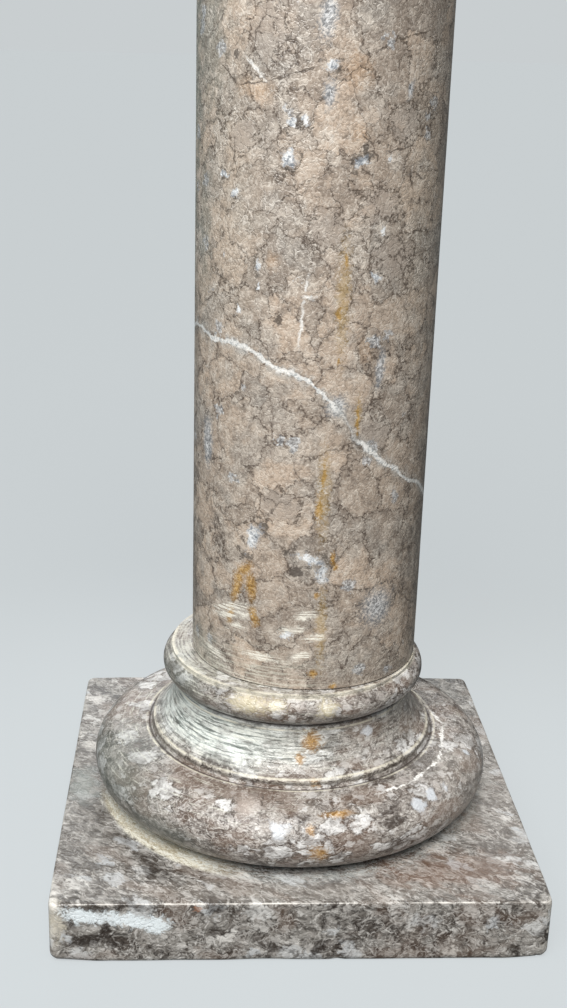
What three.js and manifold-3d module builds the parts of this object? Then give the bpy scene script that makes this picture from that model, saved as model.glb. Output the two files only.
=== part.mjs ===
// A marble pedestal column in five stones: a square plinth, a turned base moulding, a plain round shaft,
// a turned capital and a square top slab. Millimetres, +Z up. The origin is under the middle of the
// plinth, and the front face looks towards -Y.
import * as THREE from "three";
import { mergeVertices } from "three/addons/utils/BufferGeometryUtils.js";
import Module from "manifold-3d";

// Whole column
const COLUMN_HEIGHT = 1050;
const JOINT = 0.3; // bed joint between two stones

// Fineness
const TURNING_SIDES = 64; // flats round every turned stone
const MEMBER_STEPS = 5; // half as many as the flats up each curved member
const ARRIS_STEPS = 3; // half as many as the flats across a slab's rounded arris
const CORNER_STEPS = 4; // flats round a slab's upright corner
const WELD_DISTANCE = 1e-3; // corners nearer than this are one corner

// Plinth
const PLINTH_SIDE = 300;
const PLINTH_HEIGHT = 41.5;
const PLINTH_CORNER = 5; // rounding of the upright corners
const PLINTH_TOP_ARRIS = 2;
const PLINTH_BOTTOM_ARRIS = 5; // the lower edge is the more worn one

// Base moulding, radii and heights above its own bed
const BASE_HEIGHT = 100.4;
const SEAT_RADIUS = 117;
const TORUS_RADIUS = 132.3;
const TORUS_DEPTH = 22; // how far the torus swells out from its own middle circle
const TORUS_HALF_HEIGHT = 20;
const TORUS_MIDDLE = 22.4;
const STEP_RADIUS = 94; // foot of the small step between torus and scotia
const STEP_FOOT = 44.2;
const STEP_TOP = 48.6;
const SCOTIA_ARRIS_RADIUS = 92.6;
const SCOTIA_NECK_RADIUS = 78.5;
const SCOTIA_NECK = 76;
const SCOTIA_DEPTH = 17.5;
const RING_RADIUS = 86.5;
const RING_DEPTH = 14.5;
const RING_HALF_HEIGHT = 11.1;
const RING_MIDDLE = 89.6;
const RING_FOOT_RADIUS = 79;
const TOP_FILLET_RADIUS = 80.9;

// Shaft, which stands a little to the right of the middle of its base
const SHAFT_RADIUS = 73.8;
const SHAFT_OFFSET = 6.7;
const SHAFT_ARRIS = 0.8;

// Capital, radii and heights above its own bed
const CAPITAL_HEIGHT = 71;
const ASTRAGAL_RADIUS = 83;
const ASTRAGAL_DEPTH = 8;
const ASTRAGAL_HALF_HEIGHT = 6.5;
const CAPITAL_NECK_RADIUS = 75;
const COLLAR_RADIUS = 81;
const COLLAR_FOOT = 31;
const COLLAR_TOP = 36;
const ECHINUS_FOOT_RADIUS = 83;
const ECHINUS_RADIUS = 116;
const ECHINUS_TOP = 64;
const LIP_RADIUS = 118.5;

// Top slab
const ABACUS_SIDE = 256;
const ABACUS_HEIGHT = 38;
const ABACUS_CORNER = 3;
const ABACUS_ARRIS = 2;

// Heights at which the stones rest
const BASE_BED = PLINTH_HEIGHT + JOINT;
const SHAFT_BED = BASE_BED + BASE_HEIGHT + JOINT;
const ABACUS_BED = COLUMN_HEIGHT - ABACUS_HEIGHT;
const CAPITAL_BED = ABACUS_BED - JOINT - CAPITAL_HEIGHT;
const SHAFT_LENGTH = CAPITAL_BED - JOINT - SHAFT_BED;

// Stones: polished, the base a little greyer than the shaft, the plinth the darkest
const shaftMarble = new THREE.MeshStandardMaterial({ color: "#ab9f90", roughness: 0.25, metalness: 0 });
const baseMarble = new THREE.MeshStandardMaterial({ color: "#b0aaa0", roughness: 0.3, metalness: 0 });
const plinthMarble = new THREE.MeshStandardMaterial({ color: "#958f87", roughness: 0.35, metalness: 0 });

const wasm = await Module();
wasm.setup();

// A closed geometry as a solid that can be cut.
function toSolid(geometry) {
  const bare = geometry.clone();
  bare.deleteAttribute("normal");
  bare.deleteAttribute("uv");
  const merged = mergeVertices(bare, WELD_DISTANCE);
  const vertProperties = new Float32Array(merged.attributes.position.array);
  const triVerts = new Uint32Array(merged.index.array);
  return new wasm.Manifold(new wasm.Mesh({ numProp: 3, vertProperties, triVerts }));
}

// A cut solid as a geometry again.
function toGeometry(solid) {
  const mesh = solid.getMesh();
  const geometry = new THREE.BufferGeometry();
  geometry.setAttribute("position", new THREE.BufferAttribute(mesh.vertProperties, 3));
  geometry.setIndex(new THREE.BufferAttribute(mesh.triVerts, 1));
  geometry.computeVertexNormals();
  return geometry;
}

// Turns a half section, drawn as radius and height, about the upright axis.
function turned(section) {
  const geometry = new THREE.LatheGeometry(section.getPoints(MEMBER_STEPS), TURNING_SIDES);
  geometry.rotateX(Math.PI / 2);
  return geometry;
}

// The angle on an ellipse at a given distance out from its middle.
function angleOfEllipse(out, depth) {
  return Math.acos(out / depth);
}

// A square slab with rounded upright corners and rounded upper and lower arrises: a four-sided turning
// gives the arrises, and an upright prism with round corners trims it.
function squareSlab(side, height, corner, topArris, bottomArris) {
  const half = side / 2;
  const section = new THREE.Path();
  section.moveTo(0, 0);
  section.lineTo(half - bottomArris, 0);
  section.absarc(half - bottomArris, bottomArris, bottomArris, -Math.PI / 2, 0, false);
  section.absarc(half - topArris, height - topArris, topArris, 0, Math.PI / 2, false);
  section.lineTo(0, height);
  const points = section.getPoints(ARRIS_STEPS);
  const moulded = new THREE.LatheGeometry(points, 4);
  moulded.rotateX(Math.PI / 2);
  moulded.rotateZ(Math.PI / 4);
  moulded.scale(Math.SQRT2, Math.SQRT2, 1);

  const outline = new THREE.Shape();
  outline.absarc(half - corner, half - corner, corner, 0, Math.PI / 2, false);
  outline.absarc(corner - half, half - corner, corner, Math.PI / 2, Math.PI, false);
  outline.absarc(corner - half, corner - half, corner, Math.PI, Math.PI * 1.5, false);
  outline.absarc(half - corner, corner - half, corner, Math.PI * 1.5, Math.PI * 2, false);
  outline.closePath();
  const prism = new THREE.ExtrudeGeometry(outline, {
    depth: height * 2,
    curveSegments: CORNER_STEPS,
    bevelEnabled: false,
  });
  prism.translate(0, 0, -height / 2);

  return toGeometry(toSolid(moulded).intersect(toSolid(prism)));
}

// The base moulding's half section: a fat torus, a small step, a hollow scotia, a ring and a low fillet.
function baseSection() {
  const section = new THREE.Path();
  section.moveTo(0, 0);
  section.lineTo(SEAT_RADIUS, 0);

  const torusCentre = TORUS_RADIUS - TORUS_DEPTH;
  const seatAngle = angleOfEllipse(SEAT_RADIUS - torusCentre, TORUS_DEPTH);
  section.absellipse(
    torusCentre, TORUS_MIDDLE, TORUS_DEPTH, TORUS_HALF_HEIGHT, -seatAngle, Math.PI / 2, false, 0,
  );

  section.lineTo(STEP_RADIUS, STEP_FOOT);
  section.lineTo(SCOTIA_ARRIS_RADIUS, STEP_TOP);

  const scotiaCentre = SCOTIA_NECK_RADIUS + SCOTIA_DEPTH;
  const arrisOut = scotiaCentre - SCOTIA_ARRIS_RADIUS;
  const arrisAngle = angleOfEllipse(arrisOut, SCOTIA_DEPTH);
  const scotiaHalfHeight = (SCOTIA_NECK - STEP_TOP) / Math.sin(arrisAngle);
  section.absellipse(
    scotiaCentre, SCOTIA_NECK, SCOTIA_DEPTH, scotiaHalfHeight, Math.PI + arrisAngle, Math.PI, true, 0,
  );

  const ringCentre = RING_RADIUS - RING_DEPTH;
  const footAngle = angleOfEllipse(RING_FOOT_RADIUS - ringCentre, RING_DEPTH);
  const headAngle = angleOfEllipse(TOP_FILLET_RADIUS - ringCentre, RING_DEPTH);
  section.absellipse(
    ringCentre, RING_MIDDLE, RING_DEPTH, RING_HALF_HEIGHT, -footAngle, headAngle, false, 0,
  );

  section.lineTo(TOP_FILLET_RADIUS, BASE_HEIGHT);
  section.lineTo(0, BASE_HEIGHT);
  return section;
}

// The shaft's half section: a straight drum with its arrises just broken.
function shaftSection() {
  const section = new THREE.Path();
  section.moveTo(0, 0);
  section.lineTo(SHAFT_RADIUS - SHAFT_ARRIS, 0);
  section.lineTo(SHAFT_RADIUS, SHAFT_ARRIS);
  section.lineTo(SHAFT_RADIUS, SHAFT_LENGTH - SHAFT_ARRIS);
  section.lineTo(SHAFT_RADIUS - SHAFT_ARRIS, SHAFT_LENGTH);
  section.lineTo(0, SHAFT_LENGTH);
  return section;
}

// The capital's half section: an astragal, a short neck, a collar and a rounded echinus under a lip.
function capitalSection() {
  const section = new THREE.Path();
  const astragalCentre = ASTRAGAL_RADIUS - ASTRAGAL_DEPTH;
  section.moveTo(0, 0);
  section.lineTo(astragalCentre, 0);
  section.absellipse(
    astragalCentre, ASTRAGAL_HALF_HEIGHT, ASTRAGAL_DEPTH, ASTRAGAL_HALF_HEIGHT,
    -Math.PI / 2, Math.PI / 2, false, 0,
  );

  section.lineTo(CAPITAL_NECK_RADIUS, COLLAR_FOOT);
  section.lineTo(COLLAR_RADIUS, COLLAR_FOOT);
  section.lineTo(COLLAR_RADIUS, COLLAR_TOP);

  const echinusDepth = ECHINUS_RADIUS - ECHINUS_FOOT_RADIUS;
  const echinusHeight = ECHINUS_TOP - COLLAR_TOP;
  section.absellipse(
    ECHINUS_FOOT_RADIUS, ECHINUS_TOP, echinusDepth, echinusHeight, -Math.PI / 2, 0, false, 0,
  );

  section.lineTo(LIP_RADIUS, ECHINUS_TOP);
  section.lineTo(LIP_RADIUS, CAPITAL_HEIGHT);
  section.lineTo(0, CAPITAL_HEIGHT);
  return section;
}

// One stone at its place in the column.
function stone(name, geometry, material, offset, bed) {
  const mesh = new THREE.Mesh(geometry, material);
  mesh.name = name;
  mesh.position.set(offset, 0, bed);
  return mesh;
}

const plinth = squareSlab(PLINTH_SIDE, PLINTH_HEIGHT, PLINTH_CORNER, PLINTH_TOP_ARRIS, PLINTH_BOTTOM_ARRIS);
const baseMoulding = turned(baseSection());
const shaft = turned(shaftSection());
const capital = turned(capitalSection());
const abacus = squareSlab(ABACUS_SIDE, ABACUS_HEIGHT, ABACUS_CORNER, ABACUS_ARRIS, ABACUS_ARRIS);

const column = new THREE.Group();
column.add(
  stone("plinth", plinth, plinthMarble, 0, 0),
  stone("base_moulding", baseMoulding, baseMarble, 0, BASE_BED),
  stone("shaft", shaft, shaftMarble, SHAFT_OFFSET, SHAFT_BED),
  stone("capital", capital, baseMarble, SHAFT_OFFSET, CAPITAL_BED),
  stone("abacus", abacus, plinthMarble, SHAFT_OFFSET, ABACUS_BED),
);

export default column;
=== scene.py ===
"""A marble pedestal column: a square plinth, a turned base, a round shaft, a turned capital and a top slab.

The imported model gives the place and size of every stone. Each stone is modelled again here with its worn
arrises, chips and old filler, and finished as polished breccia. Sizes are in millimetres until a stone is
finished. The front faces -Y, and angles round the column run from the front towards the right.
"""

import math

import bmesh
import bpy
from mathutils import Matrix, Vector, noise


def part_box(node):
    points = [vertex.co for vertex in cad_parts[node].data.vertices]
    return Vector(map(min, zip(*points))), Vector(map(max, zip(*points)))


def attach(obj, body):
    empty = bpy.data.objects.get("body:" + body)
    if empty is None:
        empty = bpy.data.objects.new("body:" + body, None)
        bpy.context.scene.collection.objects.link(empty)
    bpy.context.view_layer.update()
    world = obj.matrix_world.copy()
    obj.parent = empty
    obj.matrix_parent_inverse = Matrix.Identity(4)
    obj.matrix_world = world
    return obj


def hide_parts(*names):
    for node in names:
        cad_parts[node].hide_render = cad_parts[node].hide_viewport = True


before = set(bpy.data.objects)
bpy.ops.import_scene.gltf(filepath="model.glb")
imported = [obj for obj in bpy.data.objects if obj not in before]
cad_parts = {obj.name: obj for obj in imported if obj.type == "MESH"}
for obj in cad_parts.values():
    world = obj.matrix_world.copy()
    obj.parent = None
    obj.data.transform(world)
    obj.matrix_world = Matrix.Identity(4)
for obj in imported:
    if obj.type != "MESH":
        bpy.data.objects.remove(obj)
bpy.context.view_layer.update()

MM = 0.001

# Stones: sizes in millimetres, heights above each stone's own bed
PLINTH_CORNER = 5.0
PLINTH_TOP_ARRIS = 2.0
PLINTH_BOTTOM_ARRIS = 5.0
ABACUS_CORNER = 3.0
ABACUS_ARRIS = 2.0
SLAB_CUTS_ACROSS = 96
SLAB_CUTS_UP = 26

BASE_SIDES = 384
BASE_HEIGHT = 100.4
SEAT_RADIUS = 117.0
TORUS_RADIUS = 132.3
TORUS_DEPTH = 22.0
TORUS_HALF_HEIGHT = 20.0
TORUS_MIDDLE = 22.4
STEP_RADIUS = 94.0
STEP_TOP = 48.6
SCOTIA_ARRIS_RADIUS = 92.6
SCOTIA_NECK_RADIUS = 78.5
SCOTIA_NECK = 76.0
SCOTIA_DEPTH = 17.5
RING_RADIUS = 86.5
RING_DEPTH = 14.5
RING_HALF_HEIGHT = 11.1
RING_MIDDLE = 89.6
RING_FOOT_RADIUS = 79.0
TOP_FILLET_RADIUS = 80.9
STEP_GROOVE = (
    (97.8, 43.8), (96.6, 43.5), (95.6, 42.9), (94.6, 43.1), (94.0, 44.2), (93.7, 46.4), (93.3, 48.1),
)
RING_CREASE = ((78.4, 77.2), (77.7, 78.2), (77.9, 79.3))

SHAFT_SIDES = 256
SHAFT_RADIUS = 73.8
SHAFT_ARRIS = 0.8
SHAFT_ROW = 6.0

CAPITAL_SIDES = 320
CAPITAL_HEIGHT = 71.0
ASTRAGAL_RADIUS = 83.0
ASTRAGAL_DEPTH = 8.0
ASTRAGAL_HALF_HEIGHT = 6.5
CAPITAL_NECK_RADIUS = 75.0
COLLAR_RADIUS = 81.0
COLLAR_FOOT = 31.0
COLLAR_TOP = 36.0
ECHINUS_FOOT_RADIUS = 83.0
ECHINUS_RADIUS = 116.0
ECHINUS_TOP = 64.0
LIP_RADIUS = 118.5

RIM_STRIP = 3.0  # a narrow ring of faces kept beside an arris that is worn
BED_STRIP = 6.0  # the same on the beds of the drum
SOFTENED_ARRIS = 0.7
TORUS_ROWS = 38
LEDGE_ROWS = 8
SCOTIA_ROWS = 16
RING_ROWS = 20
ASTRAGAL_ROWS = 16
NECK_ROWS = 5
ECHINUS_ROWS = 20
SHARP_ANGLE = math.radians(38)
WELD = 0.001

# Sizes of the lumps that wander, wear and chips follow
WANDER_SIZE = 34.0
WANDER_HEIGHT = 9.0
RUBBED_SIZE = 19.0
CHIP_SIZE = 5.5
SLAB_RUBBED_SIZE = 38.0
SLAB_CHIP_SIZE = 6.5
SLAB_UNEVEN_SIZE = 30.0
SLAB_UNEVEN_DEPTH = 0.12
SLAB_CORNER_WEAR = 26.0
SLAB_CHIP_FROM = 0.35
SLAB_CHIP_GAIN = 3.2

# Old filler packed under the torus
FILLER_HEIGHT = 3.4
FILLER_THIN = 119.5
FILLER_THICK = 126.5
FILLER_FROM = math.radians(-80)
FILLER_TO = math.radians(-27)
FILLER_TAPER = math.radians(9)
FILLER_LUMP = 7.0
FILLER_GRIT = 2.6
FILLER_SWAY = 1.3
FILLER_SLOPE = 1.7

# Wrinkles in the polish, against the grain of a stone
WORM_SIZE = 1.9
WORM_DETAIL = 1.5
GROOVE_FADE = 0.09

SHAFT_GRAIN = 1.7
BASE_GRAIN = 2.1
BASE_FLATTENED = (0.85, 0.85, 1.5)
PLINTH_GRAIN = 2.7
PLINTH_DRAWN = (1.35, 0.8, 0.9)
PLINTH_DRAWN_TURN = math.radians(-35)
MARBLE_IOR = 1.5

# Vertex attributes that the marbles read
WORN = "worn"
FILLER = "filler"

# Camera and light
LENS = 48.513
SENSOR_WIDTH = 36
FAR_END = 200
PICTURE_SHIFT = 0.01488
CAMERA_PLACE = (-0.06176, -0.82719, 0.52252)
CAMERA_TURN = (70.4528, -1.3989, -2.4998)
BACKDROP = "#c9ced0"
AIR_LIGHT = "#e2e8ea"
FLOOR_PAINT = "#54585a"
FLOOR_RADIUS = 40
FLOOR_SIDES = 96
FLOOR_GLOW = 0.83
FLOOR_NEAR_GLOW = 0.915
FLOOR_GLOW_FADE = (0.55, 0.22)
BRIGHT_SIDE = (-0.62, -0.45, 0.6)
AIR_DIM = 0.13
AIR_BRIGHT = 0.42
SOFT_BOX_SIZE = 0.6
SOFT_BOX_POWER = 9.5
SOFT_BOX_PLACE = (-0.42, -0.85, 1.0)
SOFT_BOX_AIM = (0.0, 0.0, 0.6)

DRUM_SPOT_DEPTH = 50
STROKE_OVERLAP = 0.56


def drum_spots(*rows):
    """Spots on the rolled-out drum. A row is its place round and up, its reach round and up, and a lean."""
    return [
        ((across, 0, up), (wide, DRUM_SPOT_DEPTH, tall), (0, -math.radians(sum(lean)), 0))
        for across, up, wide, tall, *lean in rows
    ]


def stone_spots(*rows):
    """Spots on the base or the plinth. A row is a middle, a reach, the way it faces and its lean."""
    spots = []
    for centre, reach, *angles in rows:
        facing, lean = (*angles, 0, 0)[:2]
        spots.append((centre, reach, (0, -math.radians(lean), math.radians(facing))))
    return spots


def strokes(width, *runs):
    """Thin spots laid end to end along bent lines. On the drum, a point is only its place round and up."""
    spots = []
    for run in runs:
        points = [Vector((point[0], 0, point[1]) if len(point) == 2 else point) for point in run]
        for start, end in zip(points, points[1:]):
            along = end - start
            turn = along.to_track_quat("X", "Z").to_euler()
            spots.append(((start + end) / 2, (along.length * STROKE_OVERLAP, width / 2, width / 2), turn))
    return spots


# Marks on the shaft: millimetres round it from the front, and height above the floor
VEIN_HEIGHTS = (225.0, 370.0)
VEIN_COURSE = (
    (-232, 266), (-175, 314), (-130, 347), (-94, 359), (-71, 355), (-56, 355.5), (-41, 352),
    (-26, 343.5), (-14, 341), (0, 330.5), (8, 322.5), (14, 317), (20, 303.5), (30, 296.5),
    (39, 288.5), (50, 282), (63, 272), (77, 267), (88, 259.5), (129, 238), (175, 236), (232, 266),
)
VEIN_GAP = 15.0
CREASES_RISE = (280.0, 430.0)  # the creases grow stronger over this height
WASH_FALL = (178.0, 148.0)  # chalky wash at the foot, from none to all
WASH_LEFTWARDS = (30.0, -40.0)
SHAFT_CRACKS = strokes(
    1.3,
    ((-70, 509), (-56, 498), (-36, 500), (-23, 504), (-10, 508)), ((17, 474), (24, 468), (26, 459)),
    ((31, 465), (53, 468)), ((48, 456), (52, 444)), ((23, 517), (34, 523), (44, 525), (57, 527)),
    ((23, 166), (21, 157)),
)
SHAFT_GREY_SPOTS = drum_spots(
    (-4, 534, 6, 15, -8), (-2, 495, 5, 9), (46, 497, 3, 6, -20), (35, 344, 4, 15, -6), (9, 323, 8, 8),
    (-80, 291, 7, 20), (42, 194, 15, 15),
)
SHAFT_DARK_SPOTS = drum_spots(
    (-57, 513, 1.7, 3.2), (-18, 480, 2.4, 4), (20, 464, 1.6, 5, 20), (-27, 372, 2.6, 3.6),
    (-12, 221, 4.5, 3.5),
)
SHAFT_PEBBLES = drum_spots(
    (-36, 526, 10, 13), (43, 480, 9, 9), (28, 437, 11, 9), (-1, 424, 9, 10), (41, 407, 13, 10),
    (-52, 470, 9, 8), (33, 306, 11, 8), (-24, 262, 12, 9),
)
SHAFT_TAN = drum_spots(
    (13, 507, 10, 13), (-46, 496, 15, 7), (16, 473, 6, 7), (-31, 404, 5, 6), (24, 356, 7, 9),
)
# Painted cool reflection down the left edge of the upper shaft
SHAFT_TEAL_REFLECTION = drum_spots((-114, 500, 24, 150))
# Painted light on the left and right quarters of the upper shaft
SHAFT_PAINTED_LIGHT = drum_spots(
    (62, 430, 30, 110), (-60, 430, 26, 110),
)
# Painted shade low down on the right and left sides of the shaft
SHAFT_PAINTED_SHADE = drum_spots(
    (100, 215, 44, 150), (-117, 200, 26, 120),
)
# The stone's greenish grey down the left side, mixed with a painted cool reflection there
SHAFT_GREENISH_AND_REFLECTION = drum_spots(
    (-82, 520, 24, 60), (-88, 420, 14, 60), (-84, 150, 26, 26),
)
SHAFT_WHITE_SPOTS = drum_spots(
    (-2, 509, 3.8, 2.8), (-22, 479, 3, 3.2), (-14.5, 481, 1.7, 4, 15), (-23, 461, 4, 4),
    (17, 460, 4.4, 2.8, 35), (34, 462, 1.7, 3.6), (-66, 449, 2.2, 2), (-56, 441, 3, 2.8),
    (32, 422, 2, 3.2), (29.5, 397, 2.8, 2.4), (-39.5, 402, 2, 3.6), (-39, 391, 1.7, 2),
    (-53, 375, 2.4, 2.4), (-40, 239, 5, 9, -20), (-4, 229, 9, 3.4, -20), (4, 220, 3.6, 7.5),
    (-17, 179, 5, 3),
)
SHAFT_WHITE_STROKES = strokes(
    2.6,
    ((-9.5, 400), (-12, 388), (-14.7, 356)), ((-14.5, 385.5), (-4.6, 386)),
    ((-52.7, 514), (-35.8, 499.7)),
)
SHAFT_SCRATCHES = strokes(
    6.4,
    ((-73, 185), (-40, 194)), ((-71, 181), (-39, 189)), ((-60, 175), (-44, 180)), ((-12, 191), (4, 195)),
    ((-22, 182), (-4, 184)), ((-47, 163), (-20, 161)), ((-14, 163), (0, 168)), ((-8, 176), (8, 179)),
    ((-81, 158), (-55, 150)),
)
SHAFT_OCHRE = drum_spots(
    (-49, 211, 5, 6), (10.3, 407, 1.6, 5), (7.6, 376, 1.8, 5), (8.7, 350, 1.5, 3), (21.7, 316, 1.4, 11),
    (2.8, 281, 1.6, 10), (0.6, 261, 3.2, 9), (10.3, 230, 1.8, 6), (11.8, 224, 2.6, 3), (0.8, 206, 2.6, 3),
    (-45.5, 217, 7, 4, 35), (0.3, 154, 3.4, 4), (13.8, 145, 3.4, 3),
)
SHAFT_OCHRE_RUNS = strokes(
    9.0,
    ((-40, 222), (-48, 214), (-54, 192), (-57, 178)), ((-42, 219), (-39, 196), (-36, 180)),
)
SHAFT_FAINT_OCHRE = drum_spots(
    (10, 385, 5, 40), (3, 270, 5, 34), (22, 318, 3, 14), (5, 185, 4, 34),
)

# Marks on the base and the plinth: millimetres to the right, back and up
HOLLOW_FOOT = (88.0, 99.0)  # chalk in the scotia, between its foot and its head
HOLLOW_HEAD = (122.0, 117.0)
CHALK_LEFTWARDS = (40.0, -50.0)
STREAKS_RISE = (62.0, 92.0)  # turning marks on the torus, stronger above and to the left
STREAKS_LEFTWARDS = (20.0, -60.0)
LEDGE_RISE = (138.5, 141.5)
BASE_GREENISH = stone_spots(
    ((-112, -44, 72), (52, 80, 22)), ((-80, -88, 60), (50, 44, 13)), ((-70, -30, 132), (40, 60, 16)),
)
# Painted light on the right of the torus
BASE_PAINTED_LIGHT = stone_spots(((108, -60, 75), (46, 60, 30)))
BASE_CREAM = stone_spots(
    ((-31, -79, 136), (19, 8, 8), -21.5), ((-16, -83, 137), (9, 7, 6), -11),
    ((16.7, -84, 135), (8, 7, 7), 11),
)
# White clasts; the first, on the torus front, is partly a painted bluish highlight
BASE_WHITE_AND_HIGHLIGHT = stone_spots(
    ((-14, -124, 76), (8, 8, 5), -7), ((44, -66, 110), (5, 6, 4.5), 34), ((113, -42, 82), (3, 4, 5), 70),
    ((93, -82, 79), (4, 4, 5), 47), ((74, -102, 77), (5, 6, 9), 36, 20),
    ((83, -92, 79), (4, 5, 9), 42, -15),
)
BASE_PINKISH = stone_spots(((-32, -111, 83), (12, 12, 9), -16))
BASE_OCHRE = stone_spots(
    ((8, -79, 110), (8, 5, 10), 6), ((1, -83, 100), (4, 4, 5)), ((9, -92, 88), (4, 5, 4), 5),
    ((22, -118, 82), (12, 3, 3), 11), ((10, -131, 63), (8, 5, 7), 5), ((5, -127, 76), (3, 4, 6), 2),
)
BASE_WHITE_STROKES = strokes(
    2.8,
    (
        (98, 10, 85.5), (103, -11, 85), (97, -44, 84.5), (92, -59, 84.2),
        (82, -70, 84.4), (72, -84, 84), (46, -100, 84),
    ),
)
BASE_DARK_STROKES = strokes(
    1.8,
    ((-41, -101, 84.5), (-43, -112, 83), (-40, -121, 77)),
    ((-23, -101, 85), (-24, -113, 83), (-26, -122, 79)),
)
BASE_PIT = stone_spots(((-102, -38, 84.3), (3.4, 3.4, 3.4), -70))
BASE_PALE_RINGS = ((92.4, 90.8, 2.0), (97.6, 85.7, 1.6), (80.9, 142.2, 5.0), (78.4, 117.0, 1.6))
# Painted shade in the crease under the ring and along the step and its groove
BASE_CREASE_SHADE_RINGS = ((78.2, 120.6, 2.6), (93.6, 88.2, 2.6), (95.4, 85.0, 1.8))
FILLER_BEGINS = (-86.0, -68.0)  # degrees round from the front
FILLER_ENDS = (-12.0, -34.0)
FILLER_REACH = 127.5
FILLER_RAGGED = 9.0
# Painted reflection of the torus on the polished plinth round its foot
TORUS_REFLECTION_FADE = (136.0, 122.0)
PLINTH_REDDISH = stone_spots(((90, -118, 41), (62, 26, 14)))
# Painted light over the right of the top and along its front; on the right also pale streaks
PLINTH_PALE_STREAKS_AND_LIGHT = stone_spots(
    ((125, -10, 41), (45, 130, 12)), ((10, -138, 43), (150, 16, 5)),
)
# Painted shade along the left of the plinth top
PLINTH_PAINTED_SHADE = stone_spots(((-132, -20, 41), (46, 150, 12)))
PLINTH_DARK = stone_spots(((62, -150, 20), (66, 8, 17)))
# Painted teal-grey reflection at the left of the plinth top
PLINTH_TEAL_REFLECTION = stone_spots(((-139, -15, 41), (12, 28, 8)))
PLINTH_CREAM = stone_spots(((-147, -147, 28), (8, 9, 16)))
PLINTH_PATCH = stone_spots(
    ((-128, -150, 33), (17, 5, 6), 0, -10), ((-103, -150, 30), (24, 5, 5.5), 0, -12),
    ((-86, -150, 27), (9, 5, 7)),
)
PLINTH_ORANGE = stone_spots(((-62, -150, 38), (3.4, 3.4, 2.6)))


def bed(node):
    """Height of a stone's underside, in millimetres."""
    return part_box(node)[0].z / MM


def middle(node):
    """Distance of a stone's upright axis to the right of the plinth's middle, in millimetres."""
    low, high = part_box(node)
    return (low.x + high.x) / 2 / MM


def extent(node):
    """Width and height of a stone, in millimetres."""
    low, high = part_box(node)
    return (high.x - low.x) / MM, (high.z - low.z) / MM


def arc(centre, reach, start, end, rows):
    """Points along part of an ellipse in a half section, from one angle in degrees to another."""
    points = []
    for row in range(rows + 1):
        angle = math.radians(start + (end - start) * row / rows)
        points.append((centre[0] + reach[0] * math.cos(angle), centre[1] + reach[1] * math.sin(angle)))
    return points


def line(start, end, rows):
    """Points along a straight part of a half section, without its two ends."""
    return [
        (start[0] + (end[0] - start[0]) * row / rows, start[1] + (end[1] - start[1]) * row / rows)
        for row in range(1, rows)
    ]


def ellipse_angle(out, depth):
    """The angle in degrees at which an ellipse is this far out from its own middle."""
    return math.degrees(math.acos(out / depth))


def base_section():
    """A fat torus, a small step, a hollow scotia, a ring and a low fillet, as radius and height."""
    torus_centre = TORUS_RADIUS - TORUS_DEPTH
    seat_angle = ellipse_angle(SEAT_RADIUS - torus_centre, TORUS_DEPTH)
    torus = arc((torus_centre, TORUS_MIDDLE), (TORUS_DEPTH, TORUS_HALF_HEIGHT), -seat_angle, 90, TORUS_ROWS)

    scotia_centre = SCOTIA_NECK_RADIUS + SCOTIA_DEPTH
    arris_angle = ellipse_angle(scotia_centre - SCOTIA_ARRIS_RADIUS, SCOTIA_DEPTH)
    scotia_reach = (SCOTIA_DEPTH, (SCOTIA_NECK - STEP_TOP) / math.sin(math.radians(arris_angle)))
    scotia = arc((scotia_centre, SCOTIA_NECK), scotia_reach, 180 + arris_angle, 180, SCOTIA_ROWS)

    ring_centre = RING_RADIUS - RING_DEPTH
    foot_angle = ellipse_angle(RING_FOOT_RADIUS - ring_centre, RING_DEPTH)
    head_angle = ellipse_angle(TOP_FILLET_RADIUS - ring_centre, RING_DEPTH)
    ring_reach = (RING_DEPTH, RING_HALF_HEIGHT)
    ring = arc((ring_centre, RING_MIDDLE), ring_reach, -foot_angle, head_angle, RING_ROWS)

    section = [(0, 0), (SEAT_RADIUS - RIM_STRIP, 0), *torus]
    section += [*line(torus[-1], STEP_GROOVE[0], LEDGE_ROWS), *STEP_GROOVE, *scotia, *RING_CREASE, *ring]
    section += [(TOP_FILLET_RADIUS, BASE_HEIGHT), (TOP_FILLET_RADIUS - RIM_STRIP, BASE_HEIGHT)]
    section += [(SHAFT_RADIUS - BED_STRIP, BASE_HEIGHT), (0, BASE_HEIGHT)]
    return section


def shaft_section(height):
    """A straight drum whose arrises are just broken."""
    foot = (SHAFT_RADIUS, SHAFT_ARRIS)
    head = (SHAFT_RADIUS, height - SHAFT_ARRIS)
    rows = round(height / SHAFT_ROW)
    section = [(0, 0), (SHAFT_RADIUS - BED_STRIP, 0), (SHAFT_RADIUS - SHAFT_ARRIS, 0), foot]
    section += [*line(foot, head, rows), head]
    section += [(SHAFT_RADIUS - SHAFT_ARRIS, height), (SHAFT_RADIUS - BED_STRIP, height), (0, height)]
    return section


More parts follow.
